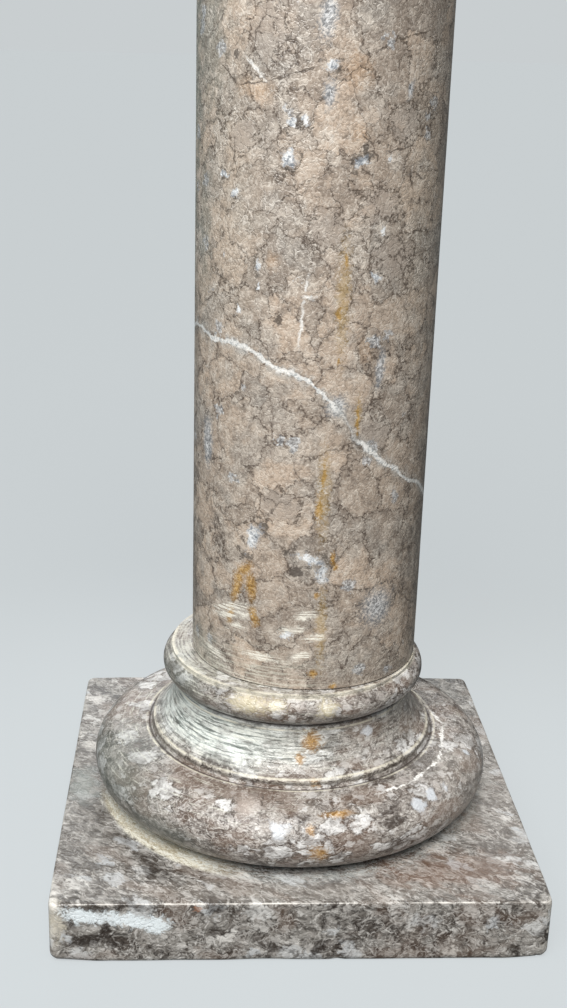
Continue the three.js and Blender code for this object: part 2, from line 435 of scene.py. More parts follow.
def capital_section():
    """An astragal, a short neck, a collar and a rounded echinus under a lip."""
    astragal_centre = ASTRAGAL_RADIUS - ASTRAGAL_DEPTH
    astragal_reach = (ASTRAGAL_DEPTH, ASTRAGAL_HALF_HEIGHT)
    astragal = arc((astragal_centre, ASTRAGAL_HALF_HEIGHT), astragal_reach, -90, 90, ASTRAGAL_ROWS)
    neck_top = (CAPITAL_NECK_RADIUS, COLLAR_FOOT)
    echinus_reach = (ECHINUS_RADIUS - ECHINUS_FOOT_RADIUS, ECHINUS_TOP - COLLAR_TOP)
    echinus = arc((ECHINUS_FOOT_RADIUS, ECHINUS_TOP), echinus_reach, -90, 0, ECHINUS_ROWS)
    section = [(0, 0), *astragal, *line(astragal[-1], neck_top, NECK_ROWS), neck_top]
    section += [(COLLAR_RADIUS, COLLAR_FOOT), (COLLAR_RADIUS, COLLAR_TOP), *echinus]
    section += [(LIP_RADIUS, ECHINUS_TOP), (LIP_RADIUS, CAPITAL_HEIGHT)]
    section += [(LIP_RADIUS - BED_STRIP, CAPITAL_HEIGHT), (0, CAPITAL_HEIGHT)]
    return section


def turned(section, sides, eased=0.0):
    """Spins a half section about the upright axis and, where asked, eases every sharp arris a little."""
    stone = bmesh.new()
    corners = [stone.verts.new((out, 0, up)) for out, up in section]
    for lower, upper in zip(corners, corners[1:]):
        stone.edges.new((lower, upper))
    bmesh.ops.spin(
        stone,
        geom=stone.verts[:] + stone.edges[:],
        cent=(0, 0, 0),
        axis=(0, 0, 1),
        angle=math.tau,
        steps=sides,
        use_merge=True,
    )
    bmesh.ops.remove_doubles(stone, verts=stone.verts, dist=WELD)
    bmesh.ops.recalc_face_normals(stone, faces=stone.faces)
    if eased:
        sharp = [edge for edge in stone.edges if edge.calc_face_angle(0) > SHARP_ANGLE]
        bmesh.ops.bevel(
            stone,
            geom=sharp,
            offset=eased,
            affect="EDGES",
            segments=2,
            profile=0.5,
            material=-1,
        )
    return stone


def from_axis(point):
    """The arrow from the upright axis out to a point."""
    return Vector((point.x, point.y, 0))


def lumps(place):
    """Smooth lumps from 0 to 1."""
    return 0.5 + 0.5 * noise.noise(place)


def turn_by_hand(stone, depth, seed):
    """Lets the surface wander inwards a little, as a hand-turned and hand-polished stone does."""
    for corner in stone.verts:
        out = from_axis(corner.co)
        if out.length < 1:
            continue
        along = corner.co / WANDER_SIZE + Vector((seed, 0, 0))
        round_about = out.normalized() * 1.4 + Vector((seed, 0, corner.co.z / WANDER_HEIGHT))
        wander = 0.6 * noise.noise(along) + 0.4 * noise.noise(round_about)
        corner.co -= out.normalized() * depth * (0.5 + 0.5 * wander)


def chip_arris(stone, radius, height, reach, depth, share, seed):
    """Knocks small chips off a circular arris and marks how worn each point is."""
    worn = stone.verts.layers.float.get(WORN) or stone.verts.layers.float.new(WORN)
    for corner in stone.verts:
        out = from_axis(corner.co)
        away = math.hypot(out.length - radius, corner.co.z - height)
        if away > reach or out.length < 1:
            continue
        nearness = 1 - away / reach
        along = out.normalized() * radius
        rubbed = lumps(along / RUBBED_SIZE + Vector((seed, 7, 0)))
        knock = noise.noise(along / CHIP_SIZE + Vector((seed, 0, 3)))
        bite = max(0.0, knock - 1 + share) / share
        corner.co -= out.normalized() * depth * nearness * (bite + 0.25 * rubbed)
        corner[worn] = max(corner[worn], min(1.0, nearness * (0.35 + 0.65 * rubbed + bite)))


def pack_filler(stone):
    """Spreads old filler from under the torus out over the plinth, thickest at the left of the front."""
    filler = stone.verts.layers.float.new(FILLER)
    for corner in stone.verts:
        out = from_axis(corner.co)
        if corner.co.z > FILLER_HEIGHT or out.length < SEAT_RADIUS - 1.5:
            continue
        angle = math.atan2(out.x, -out.y)
        inside = min(angle - FILLER_FROM, FILLER_TO - angle) / FILLER_TAPER
        thick = min(1.0, max(0.0, 0.5 + inside))
        ragged = noise.noise(out / FILLER_LUMP) + 0.5 * noise.noise(out / FILLER_GRIT)
        spread = FILLER_THIN + (FILLER_THICK - FILLER_THIN) * thick + FILLER_SWAY * ragged
        low = 1 - corner.co.z / FILLER_HEIGHT
        grown = (spread - out.length) * low ** FILLER_SLOPE
        if grown > 0:
            corner.co += out.normalized() * grown
            corner[filler] = min(1.0, grown / 2)


def square_slab(node, corner, top_arris, bottom_arris, seed):
    """A slab cut finely towards its edges, with round upright corners and unevenly worn arrises."""
    side, height = extent(node)
    slab = bmesh.new()
    bmesh.ops.create_cube(slab, size=2)
    for axis, cuts in enumerate((SLAB_CUTS_ACROSS, SLAB_CUTS_ACROSS, SLAB_CUTS_UP)):
        along = [edge for edge in slab.edges if abs((edge.verts[0].co - edge.verts[1].co)[axis]) > WELD]
        bmesh.ops.subdivide_edges(slab, edges=along, cuts=cuts, use_grid_fill=True)
    worn = slab.verts.layers.float.new(WORN)
    for point in slab.verts:
        eased = [math.sin(part * math.pi / 2) for part in point.co]
        spot = Vector((eased[0] * side / 2, eased[1] * side / 2, eased[2] * height / 2))
        point.co, point[worn] = worn_slab_point(spot, side, height, corner, top_arris, bottom_arris, seed)
    bmesh.ops.recalc_face_normals(slab, faces=slab.faces)
    return slab


def worn_slab_point(spot, side, height, corner, top_arris, bottom_arris, seed):
    """Where a point of a sharp block goes on the worn slab, and how worn it is there."""
    reach = max(abs(spot.x), abs(spot.y))
    inset = side / 2 - reach
    upper = spot.z > 0
    drop = height / 2 - abs(spot.z)
    plan = from_axis(spot)
    if reach > 0:
        plan = plan * (side / 2 / reach)
    rubbed = lumps(plan / SLAB_RUBBED_SIZE + Vector((seed, 0, 9 * upper)))
    knock = noise.noise(plan / SLAB_CHIP_SIZE + Vector((seed, 5, 9 * upper)))
    bite = max(0.0, knock - SLAB_CHIP_FROM) * SLAB_CHIP_GAIN
    near_corner = max(0.0, 1 - (side / 2 - min(abs(plan.x), abs(plan.y))) / SLAB_CORNER_WEAR)
    arris = top_arris if upper else bottom_arris
    arris = arris * (0.45 + 0.6 * rubbed + 0.35 * bite) + near_corner * arris * 0.7

    worn = 0.0
    if inset < arris and drop < arris:
        out = Vector((arris - inset, arris - drop, 0))
        square = max(out.x, out.y)
        if out.length > 0:
            out = out * (square / out.length)
        worn = (1 - abs(out.x - out.y) / arris) * (0.45 + 0.55 * rubbed + 0.5 * bite)
        inset = arris - out.x
        drop = arris - out.y

    edge = side / 2 - inset
    round_corner = max(corner * (0.7 + 0.6 * rubbed) - inset, 0)
    plan = plan * (edge / (side / 2))
    inner = Vector((
        max(-edge + round_corner, min(edge - round_corner, plan.x)),
        max(-edge + round_corner, min(edge - round_corner, plan.y)),
        0,
    ))
    out = plan - inner
    if out.length > 0:
        plan = inner + out * (max(abs(out.x), abs(out.y)) / out.length)
        worn = max(worn, 0.6 * min(1.0, out.length / corner) * near_corner)
    plan_and_height = Vector((plan.x, plan.y, spot.z)) / SLAB_UNEVEN_SIZE
    uneven = SLAB_UNEVEN_DEPTH * lumps(plan_and_height + Vector((0, 0, seed)))
    level = (height / 2 - drop - uneven) * (1 if upper else -1)
    if not upper and drop < 0.01:
        level = -height / 2
    plan -= plan.normalized() * uneven
    return Vector((plan.x, plan.y, level + height / 2)), min(1.0, worn)


def show(name, data):
    """Puts an object of this name into the scene."""
    piece = bpy.data.objects.new(name, data)
    bpy.context.scene.collection.objects.link(piece)
    return piece


def finish_stone(name, stone, marble):
    """Moves a stone to its bed, turns millimetres into metres and hands it to the frame."""
    bmesh.ops.translate(stone, verts=stone.verts, vec=(middle(name), 0, bed(name)))
    bmesh.ops.scale(stone, verts=stone.verts, vec=(MM, MM, MM))
    mesh = bpy.data.meshes.new(name + "_stone")
    stone.to_mesh(mesh)
    stone.free()
    mesh.shade_smooth()
    mesh.set_sharp_from_angle(angle=SHARP_ANGLE)
    mesh.materials.append(marble)
    piece = show(name + "_stone", mesh)
    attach(piece, "root")
    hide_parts(name)


def linear(code):
    """A colour as the shaders want it, from the usual six-figure code."""
    shown = [int(code[start:start + 2], 16) / 255 for start in (1, 3, 5)]
    return (*[part / 12.92 if part < 0.04045 else ((part + 0.055) / 1.055) ** 2.4 for part in shown], 1.0)


class Board:
    """The nodes of one material or one group, laid down and wired a few at a time."""

    def __init__(self, tree):
        self.tree = tree
        self.colour = None

    def feed(self, socket, value):
        """Gives a socket another node's output, a colour code or a plain value."""
        if isinstance(value, bpy.types.NodeSocket):
            self.tree.links.new(value, socket)
        else:
            socket.default_value = linear(value) if isinstance(value, str) else value

    def put(self, kind, sockets=None, **settings):
        """Adds a node, sets it up and feeds its sockets."""
        node = self.tree.nodes.new("ShaderNode" + kind)
        for name, value in settings.items():
            setattr(node, name, value)
        for name, value in (sockets or {}).items():
            self.feed(node.inputs[name], value)
        return node

    def calc(self, operation, first, second=0.0, third=0.0):
        """One sum on plain numbers."""
        return self.put("Math", {0: first, 1: second, 2: third}, operation=operation).outputs["Value"]

    def chain(self, operation, values):
        """Carries one sum through several numbers."""
        values = iter(values)
        result = next(values)
        for value in values:
            result = self.calc(operation, result, value)
        return result

    def either(self, *masks):
        """The strongest of several masks."""
        return self.chain("MAXIMUM", masks)

    def times(self, *masks):
        """Several masks multiplied."""
        return self.chain("MULTIPLY", masks)

    def fade(self, value, start, end, low=0.0, high=1.0):
        """Rises or falls smoothly from low to high while a value goes from start to end."""
        sockets = {"Value": value, "From Min": start, "From Max": end, "To Min": low, "To Max": high}
        return self.put("MapRange", sockets, interpolation_type="SMOOTHSTEP").outputs["Result"]

    def near(self, value, middle, start, end, low=0.0, high=1.0):
        """Fades by how far a value is from a middle one."""
        away = self.calc("ABSOLUTE", self.calc("SUBTRACT", value, middle))
        return self.fade(away, start, end, low, high)

    def move(self, operation, first, second=(0, 0, 0)):
        """One sum on places."""
        return self.put("VectorMath", {0: first, 1: second}, operation=operation).outputs["Vector"]

    def stretch(self, place, amount):
        """A place made larger or smaller."""
        return self.put("VectorMath", {0: place, "Scale": amount}, operation="SCALE").outputs["Vector"]

    def length(self, place):
        """How long an arrow is."""
        return self.put("VectorMath", {0: place}, operation="LENGTH").outputs["Value"]

    def parts(self, place):
        """A place taken apart into X, Y and Z."""
        return self.put("SeparateXYZ", {"Vector": place}).outputs

    def join(self, **parts):
        """A place put together from some of X, Y and Z."""
        return self.put("CombineXYZ", parts).outputs["Vector"]

    def scaled(self, place, size):
        """The sockets of a pattern whose lumps are about this many millimetres across."""
        if isinstance(size, bpy.types.NodeSocket):
            return {"Vector": self.stretch(place, self.calc("DIVIDE", 1.0, size)), "Scale": 1.0}
        return {"Vector": place, "Scale": 1.0 / size}

    def cloud(self, place, size, detail=2.0, roughness=0.5):
        """What a noise of this size gives."""
        sockets = self.scaled(place, size) | {"Detail": detail, "Roughness": roughness}
        return self.put("TexNoise", sockets).outputs

    def drift(self, place, size, amount, detail, roughness):
        """How far lumps of this size push a place aside."""
        push = self.move("SUBTRACT", self.cloud(place, size, detail, roughness)["Color"], CLOUD_MIDDLE)
        return self.stretch(push, amount)

    def cells(self, place, size, feature="F1"):
        """What cells of this size give."""
        return self.put("TexVoronoi", self.scaled(place, size), feature=feature).outputs

    def chances(self, cells):
        """The chance numbers of the cell that a place is in."""
        return self.put("SeparateColor", {"Color": cells["Color"]}).outputs

    def attribute(self, name):
        """A value stored on the corners of the stone."""
        return self.put("Attribute", None, attribute_name=name).outputs["Fac"]

    def use(self, group, **sockets):
        """What a node group gives."""
        return self.put("Group", sockets, node_tree=group).outputs

    def blend(self, mask, under, over):
        """One colour laid over another through a mask."""
        return self.put("Mix", {0: mask, 6: under, 7: over}, data_type="RGBA").outputs[2]

    def lay(self, over, *masks):
        """Lays a colour over the board's own, as far as all the masks and strengths allow."""
        self.colour = self.blend(self.times(*masks), self.colour, over)

    def give(self, **results):
        """Wires the results of a group to its outputs and closes the group."""
        end = self.tree.nodes.new("NodeGroupOutput")
        for name, value in results.items():
            self.tree.links.new(value, end.inputs[name])
        return self.tree


def new_group(name, takes, gives, given="NodeSocketFloat"):
    """An empty node group, as a board and its inputs. Takes are named and have the values they start at."""
    tree = bpy.data.node_groups.new(name, "ShaderNodeTree")
    for label, value in takes.items():
        kind = "NodeSocketFloat" if isinstance(value, float) else "NodeSocketVector"
        tree.interface.new_socket(label, in_out="INPUT", socket_type=kind).default_value = value
    for label in gives:
        tree.interface.new_socket(label, in_out="OUTPUT", socket_type=given)
    entry = tree.nodes.new("NodeGroupInput")
    return Board(tree), *[entry.outputs[label] for label in takes]


# Node groups: what marble does
ORIGIN = (0.0, 0.0, 0.0)
SPOT_REACH = (5.0, 5.0, 5.0)
CLOUD_MIDDLE = (0.5, 0.5, 0.5)
FULL_SHAKE = 2.6  # makes up for a cloud's values lying close to their middle
# The pale line is a painted highlight beside a dark wrinkle
PALE_SIDE = 1.7  # the pale line's distance from the dark one, in widths


def ragged_group():
    """Shakes a place a little, so that whatever is drawn there gets a ragged outline."""
    takes = {"Place": ORIGIN, "Coarse": 1.5, "Fine": 0.5}
    board, place, coarse, fine = new_group("Ragged place", takes, ["Ragged"], "NodeSocketVector")
    shaken = board.move("ADD", place, board.drift(place, 6.0, board.times(coarse, FULL_SHAKE), 2.0, 0.5))
    shaken = board.move("ADD", shaken, board.drift(place, 1.4, board.times(fine, FULL_SHAKE), 2.0, 0.5))
    return board.give(Ragged=shaken)


def wrinkle(board, value, width):
    """A dark line where a cloud is at its middle value, and a painted highlight close beside it, as on a lit
    edge.
    """
    dark = board.near(value, 0.5, width, 0.0)
    return dark, board.near(value, 0.5 + width * PALE_SIDE, width, 0.0)


def mottle_group():
    """The mottling of the stone at three sizes, and wrinkles of two sizes: a dark line with a painted
    highlight on one side.
    """
    takes = {"Place": ORIGIN, "Grain": 2.0, "Wander": 1.0}
    gives = ["Fine", "Soft", "Cloud", "Crease", "Ridge", "Dimple", "Glint"]
    board, place, grain, wander = new_group("Mottle", takes, gives)
    drift = board.drift(place, board.times(grain, 3.4), board.times(grain, wander, 4.0), 1.5, 0.5)
    drifted = board.move("ADD", place, drift)
    fine = board.cloud(drifted, grain, 4.0, 0.66)["Fac"]
    soft = board.cloud(drifted, board.times(grain, 4.5), 4.0, 0.62)["Fac"]
    broad = board.cloud(place, board.times(grain, 16.0), 3.0, 0.6)["Fac"]

    run = board.cloud(drifted, board.times(grain, 5.2), 3.0, 0.55)["Fac"]
    crease, ridge_highlight = wrinkle(board, run, 0.024)
    strong = board.fade(broad, 0.4, 0.6, 0.2, 1.0)
    worm = board.cloud(place, board.times(grain, WORM_SIZE), WORM_DETAIL)["Fac"]
    dimple, glint = wrinkle(board, worm, 0.045)
    return board.give(
        Fine=fine,
        Soft=soft,
        Cloud=broad,
        Dimple=board.times(dimple, board.fade(soft, 0.66, 0.42)),
        Glint=board.times(glint, board.fade(soft, 0.34, 0.56)),
        Crease=board.times(crease, strong),
        Ridge=board.times(ridge_highlight, strong),
    )


def crack_group():
    """Dark hair cracks that wander round cells of the stone, thick and thin and broken off in places."""
    takes = {"Place": ORIGIN, "Cell": 20.0, "Width": 0.8, "Wander": 6.0, "Whole": 0.5}
    board, place, cell, width, wander, whole = new_group("Hair cracks", takes, ["Crack", "Shade", "Tone"])
    bent = board.move("ADD", place, board.drift(place, board.times(cell, 0.45), wander, 3.0, 0.6))
    apart = board.times(board.cells(bent, cell, "DISTANCE_TO_EDGE")["Distance"], cell)
    thick = board.cloud(place, board.times(cell, 0.6), 2.0)["Fac"]
    lost = board.times(board.calc("SUBTRACT", 1.0, whole), 0.9)
    thick = board.times(board.calc("SUBTRACT", thick, lost), width, 2.4)
    away = board.calc("DIVIDE", apart, board.calc("MAXIMUM", thick, 0.01))
    return board.give(
        Crack=board.fade(away, 1.0, 0.35),
        Shade=board.fade(away, 5.0, 0.5),
        Tone=board.chances(board.cells(bent, cell))["Green"],
    )


def clast_group():
    """Broken pieces of paler stone set in the ground, some kept and the rest left out."""
    takes = {"Place": ORIGIN, "Size": 10.0, "Share": 0.3, "Ragged": 4.0, "Gap": 0.1}
    board, place, size, share, ragged, gap = new_group("Pale clasts", takes, ["Clast", "Outline"])
    shaken = board.move("ADD", place, board.drift(place, board.times(size, 0.42), ragged, 3.0, 0.6))
    kept = board.calc("LESS_THAN", board.chances(board.cells(shaken, size))["Red"], share)
    apart = board.cells(shaken, size, "DISTANCE_TO_EDGE")["Distance"]
    body = board.fade(apart, gap, board.calc("ADD", gap, 0.1))
    rim = board.fade(apart, board.calc("ADD", gap, 0.12), gap)
    return board.give(Clast=board.times(body, kept), Outline=board.times(rim, kept))


def fleck_group():
    """Small soft-edged flecks of paler stone, scattered."""
    takes = {"Place": ORIGIN, "Size": 7.0, "Share": 0.3}
    board, place, size, share = new_group("Flecks", takes, ["Fleck", "Tone"])
    drift = board.drift(place, board.times(size, 0.5), board.times(size, 1.5), 3.0, 0.65)
    cells = board.cells(board.move("ADD", place, drift), size)
    chances = board.chances(cells)
    kept = board.calc("LESS_THAN", chances["Red"], share)
    body = board.fade(cells["Distance"], 0.58, 0.36)
    return board.give(Fleck=board.times(body, kept), Tone=chances["Green"])


def level_spot_group():
    """How far a point is from one patch: 1 on the rim of an upright oval with its own middle and lengths."""
    takes = {"Place": ORIGIN, "Middle": ORIGIN, "Reach": SPOT_REACH}
    board, place, centre, reach = new_group("Level spot", takes, ["Away"])
    local = board.move("DIVIDE", board.move("SUBTRACT", place, centre), reach)
    return board.give(Away=board.length(local))


def turned_spot_group():
    """The same for an oval that is turned as well."""
    takes = {"Place": ORIGIN, "Middle": ORIGIN, "Turn": ORIGIN, "Reach": SPOT_REACH}
    board, place, centre, turn, reach = new_group("Turned spot", takes, ["Away"])
    sockets = {"Vector": place, "Location": centre, "Rotation": turn, "Scale": reach}
    local = board.put("Mapping", sockets, vector_type="TEXTURE").outputs["Vector"]
    return board.give(Away=board.length(local))


def turning_group():
    """Fine rings left by turning, long round the stone and narrow across it."""
    takes = {"Place": ORIGIN, "Spacing": 1.2, "Length": 40.0}
    board, place, spacing, length = new_group("Turning marks", takes, ["Marks"])
    parts = board.parts(place)
    flat = board.join(X=parts["X"], Y=parts["Y"])
    out = board.length(flat)
    slow = board.stretch(board.move("NORMALIZE", flat), board.calc("DIVIDE", 90.0, length))
    rise = board.join(Z=board.calc("DIVIDE", parts["Z"], spacing))
    sockets = {"Vector": board.move("ADD", slow, rise), "W": board.calc("DIVIDE", out, spacing)}
    sockets |= {"Scale": 1.0, "Detail": 3.0, "Roughness": 0.6}
    return board.give(Marks=board.put("TexNoise", sockets, noise_dimensions="4D").outputs["Fac"])


def ring_line_group():
    """A thin ring round the column at one radius and height, for painted shade in creases, worn arrises and
    old filler.
    """
    takes = {"Place": ORIGIN, "Radius": 90.0, "Height": 90.0, "Width": 1.0}
    board, place, radius, height, width = new_group("Ring line", takes, ["Away"])
    parts = board.parts(place)
    aside = board.calc("SUBTRACT", board.length(board.join(X=parts["X"], Y=parts["Y"])), radius)
    above = board.calc("SUBTRACT", parts["Z"], height)
    away = board.length(board.join(X=aside, Y=above))
    return board.give(Away=board.calc("DIVIDE", away, board.times(width, 0.5)))


RAGGED = ragged_group()
MOTTLE = mottle_group()
CRACKS = crack_group()
CLASTS = clast_group()
LEVEL_SPOT = level_spot_group()
TURNED_SPOT = turned_spot_group()
FLECKS = fleck_group()
TURNING = turning_group()
RING_LINE = ring_line_group()

# How strongly a mottling breaks the rim of a spot, and where the rim ends
RIM_BREAK = 2.2
RIM_END = 1.1


def new_marble(name):
    """A material with an empty board and the place on the stone in millimetres."""
    marble = bpy.data.materials.new(name)
    marble.use_nodes = True
    marble.node_tree.nodes.clear()
    board = Board(marble.node_tree)
    place = board.put("TexCoord").outputs["Object"]
    place = board.put("Mapping", {"Vector": place, "Scale": (1 / MM, 1 / MM, 1 / MM)}).outputs["Vector"]
    return marble, board, place


def close_marble(board, roughness, place, grain, relief):
    """The polished surface itself, with the faint grooves that its wrinkles leave, in millimetres."""
    worm = board.cloud(place, grain * WORM_SIZE, WORM_DETAIL)["Fac"]
    bump = board.put("Bump", {"Height": board.near(worm, 0.5, 0.0, GROOVE_FADE), "Distance": relief * MM})
    sockets = {"Base Color": board.colour, "Roughness": roughness, "Normal": bump.outputs["Normal"]}
    shader = board.put("BsdfPrincipled", sockets | {"IOR": MARBLE_IOR})
    board.put("OutputMaterial", {"Surface": shader.outputs["BSDF"]})


def unrolled(board, place, centre, radius):
    """The place on a drum rolled out flat: millimetres round it from the front, and height."""
    parts = board.parts(place)
    right = board.calc("SUBTRACT", parts["X"], centre)
    round_about = board.times(board.calc("ARCTAN2", right, board.times(parts["Y"], -1.0)), radius)
    return board.join(X=round_about, Z=parts["Z"])


def spot_away(board, place, centre, reach, turn):
    """How far a point is from one spot, by the plainer group where the spot isn't turned."""
    if any(turn):
        return board.use(TURNED_SPOT, Place=place, Middle=centre, Turn=turn, Reach=reach)["Away"]
    return board.use(LEVEL_SPOT, Place=place, Middle=centre, Reach=reach)["Away"]


def spots_away(board, place, rows, mottling=None):
    """How far a point is from the nearest of several spots, shaken by a mottling where one is given."""
    nearest = board.chain("MINIMUM", (spot_away(board, place, *row) for row in rows))
    if mottling is not None:
        nearest = board.calc("ADD", nearest, board.times(board.calc("SUBTRACT", mottling, 0.5), RIM_BREAK))
    return nearest


def spots(board, place, rows, mottling=None, edge=0.9):
    """Several spots in one mask, their outlines broken by a mottling where one is given."""
    return board.fade(spots_away(board, place, rows, mottling), RIM_END, RIM_END - edge)


def rings(board, place, rows):
    """Several rings in one mask. A row is a radius, a height and a width."""
    away = (
        board.use(RING_LINE, Place=place, Radius=radius, Height=height, Width=width)["Away"]
        for radius, height, width in rows
    )
    return board.fade(board.chain("MINIMUM", away), 1.3, 0.4)


def vein(board, flat):
    """How far a point is above or below the white vein round the shaft, and its place round it and up."""
    parts = board.parts(flat)
    half_way = SHAFT_RADIUS * math.pi
    across = {"Value": parts["X"], "From Min": -half_way, "From Max": half_way}
    course = board.put("FloatCurve", {"Value": board.put("MapRange", across).outputs["Result"]})
    curve = course.mapping.curves[0]
    low, high = VEIN_HEIGHTS
    points = [((x / half_way + 1) / 2, (z - low) / (high - low)) for x, z in VEIN_COURSE]
    curve.points[0].location = points[0]
    curve.points[1].location = points[-1]
    for point in points[1:-1]:
        curve.points.new(*point)
    course.mapping.update()
    height = board.put("MapRange", {"Value": course.outputs["Value"], "To Min": low, "To Max": high})
    above = board.calc("SUBTRACT", parts["Z"], height.outputs["Result"])
    return board.calc("ABSOLUTE", above), parts["X"], parts["Z"]


def shaft_marble():
    """Warm taupe breccia with worm-like mottling, one white vein, streaks of ochre and painted light, shade
    and reflection.
    """
    marble, board, place = new_marble("shaft_breccia")
    ragged = board.use(RAGGED, Place=place, Coarse=1.8, Fine=0.6)["Ragged"]
    flat = unrolled(board, ragged, middle("shaft"), SHAFT_RADIUS)

    ground = board.use(MOTTLE, Place=place, Grain=SHAFT_GRAIN, Wander=0.55)
    fine = ground["Fine"]
    soft = ground["Soft"]
    pebbles = board.use(CRACKS, Place=place, Cell=24.0, Width=1.0, Wander=19.0, Whole=0.7)
    rough = board.fade(board.parts(flat)["Z"], *CREASES_RISE, 0.3, 0.7)
    board.colour = board.blend(pebbles["Tone"], "#8f847a", "#bca997")
    board.lay("#9c9892", board.fade(ground["Cloud"], 0.45, 0.62), 0.55)
    board.lay("#7d7167", pebbles["Shade"], 0.5)
    board.lay("#bf9c78", spots(board, flat, SHAFT_TAN, soft), 0.38)
    # painted cool reflection down the upper left edge
    board.lay("#4f7a72", spots(board, flat, SHAFT_TEAL_REFLECTION, soft), 0.45)
    # painted light on both quarters
    board.lay("#cfc2b0", spots(board, flat, SHAFT_PAINTED_LIGHT, soft), 0.22)
    # painted shade low down on both sides
    board.lay("#5a4d40", spots(board, flat, SHAFT_PAINTED_SHADE, soft), 0.5)
    large = spots_away(board, flat, SHAFT_PEBBLES, soft)
    # greenish grey of the stone with a painted cool reflection
    board.lay("#7f867e", spots(board, flat, SHAFT_GREENISH_AND_REFLECTION, soft), 0.45)
    board.lay("#d3c8bb", board.fade(soft, 0.48, 0.72), 0.55)
    board.lay("#7a6f66", board.fade(soft, 0.5, 0.3), 0.55)
    board.lay("#dbd2c6", board.fade(fine, 0.5, 0.68), 0.4)
    board.lay("#655a51", board.fade(fine, 0.5, 0.32), 0.42)
    # dark wrinkles, each with a painted highlight close beside it
    board.lay("#564c44", ground["Dimple"], 0.32)
    board.lay("#e6dfd4", ground["Glint"], 0.3)
    board.lay("#483e37", ground["Crease"], rough, 0.72)
    board.lay("#eee8df", ground["Ridge"], rough, 0.55)
    board.lay("#a3988e", board.fade(large, 1.12, 0.85), 0.5)

    named = spots(board, flat, SHAFT_CRACKS, None, 0.5)
    outline = board.near(large, 1.15, 0.1, 0.03)
    broken = board.times(board.either(pebbles["Crack"], outline), board.fade(fine, 0.66, 0.46))
    board.lay("#4a3f37", board.either(broken, named), 0.75)

    flecks = board.use(FLECKS, Place=place, Size=9.0, Share=0.035)["Fleck"]
    grey = board.either(spots(board, flat, SHAFT_GREY_SPOTS, fine, 0.8), board.times(flecks, 0.8))
    crystals = board.blend(board.fade(fine, 0.4, 0.64), "#777a7e", "#dee1e4")
    board.lay(crystals, grey, 0.8)
    board.lay("#463f3a", spots(board, flat, SHAFT_DARK_SPOTS, fine, 0.35), 0.75)
    jagged = board.calc("MULTIPLY_ADD", board.calc("ADD", fine, soft), 0.9, -0.4)
    white = board.blend(board.fade(jagged, 0.3, 0.6), "#80868e", "#eceff1")
    shaken = board.use(RAGGED, Place=flat, Coarse=3.4, Fine=1.6)["Ragged"]
    clear = spots_away(board, shaken, SHAFT_WHITE_SPOTS, jagged)
    board.lay("#4f4943", board.near(clear, 1.35, 0.36, 0.08), board.fade(soft, 0.52, 0.44), 0.75)
    board.lay(white, board.fade(clear, 1.2, 0.45, 0.0, 0.88))
    stroke = spots(board, flat, SHAFT_WHITE_STROKES, fine)
    board.lay("#e9e7e3", stroke, board.fade(soft, 0.36, 0.5, 0.3, 1.0), 0.8)

    above, across, height = vein(board, flat)
    width = board.fade(soft, 0.34, 0.66, 0.9, 2.2)
    body = board.fade(board.calc("DIVIDE", above, width), 1.5, 0.3)
    edge = board.times(board.near(above, width, 0.9, 0.3), board.fade(fine, 0.56, 0.44))
    halo = board.times(board.fade(above, 6.5, 1.5), board.fade(soft, 0.4, 0.6))
    gap = board.near(across, VEIN_GAP, 4.0, 9.0, 0.3)
    board.lay("#a7a8a6", halo, 0.55)
    board.lay("#5b5048", edge, 0.5)
    milky = board.blend(board.fade(fine, 0.34, 0.58), "#b2b6b7", "#ebe9e5")
    board.lay(milky, body, gap, 0.92)

    gold = board.blend(board.fade(fine, 0.38, 0.62), "#86622c", "#c59a4c")
    stain = board.either(spots(board, flat, SHAFT_OCHRE, fine), spots(board, flat, SHAFT_OCHRE_RUNS, fine))
    board.lay(gold, stain, 0.8)
    board.lay("#ab8d4f", spots(board, flat, SHAFT_FAINT_OCHRE, fine, 1.0), 0.45)

    own = board.move("SUBTRACT", place, (middle("shaft"), 0, 0))
    marks = board.use(TURNING, Place=own, Spacing=1.1, Length=26.0)["Marks"]
    wash = board.times(board.fade(marks, 0.5, 0.6), board.fade(height, *WASH_FALL))
    board.lay("#d9d7c9", wash, board.fade(across, *WASH_LEFTWARDS, 0.2, 1.0), 0.55)
    scratch = spots(board, flat, SHAFT_SCRATCHES, fine, 0.8)
    board.lay("#eeeade", scratch, board.fade(marks, 0.42, 0.5), 0.9)

    close_marble(board, board.fade(soft, 0.3, 0.7, 0.26, 0.4), place, SHAFT_GRAIN, 0.11)
    return marble


def breccia(board, place, grain, darkest, dark, body, pale):
    """Ground colour of the greyer stones: flecked, creased and threaded."""
    ground = board.use(MOTTLE, Place=place, Grain=grain, Wander=1.25)
    board.colour = board.blend(board.fade(ground["Soft"], 0.38, 0.6), dark, body)
    board.lay(pale, board.fade(ground["Fine"], 0.5, 0.66), 0.75)
    board.lay(darkest, board.fade(ground["Fine"], 0.48, 0.32), 0.75)
    # dark wrinkles, each with a painted highlight close beside it
    board.lay(darkest, ground["Dimple"], 0.4)
    board.lay(pale, ground["Glint"], 0.3)
    board.lay(darkest, ground["Crease"], 0.75)
    board.lay(pale, ground["Ridge"], 0.6)
    return ground


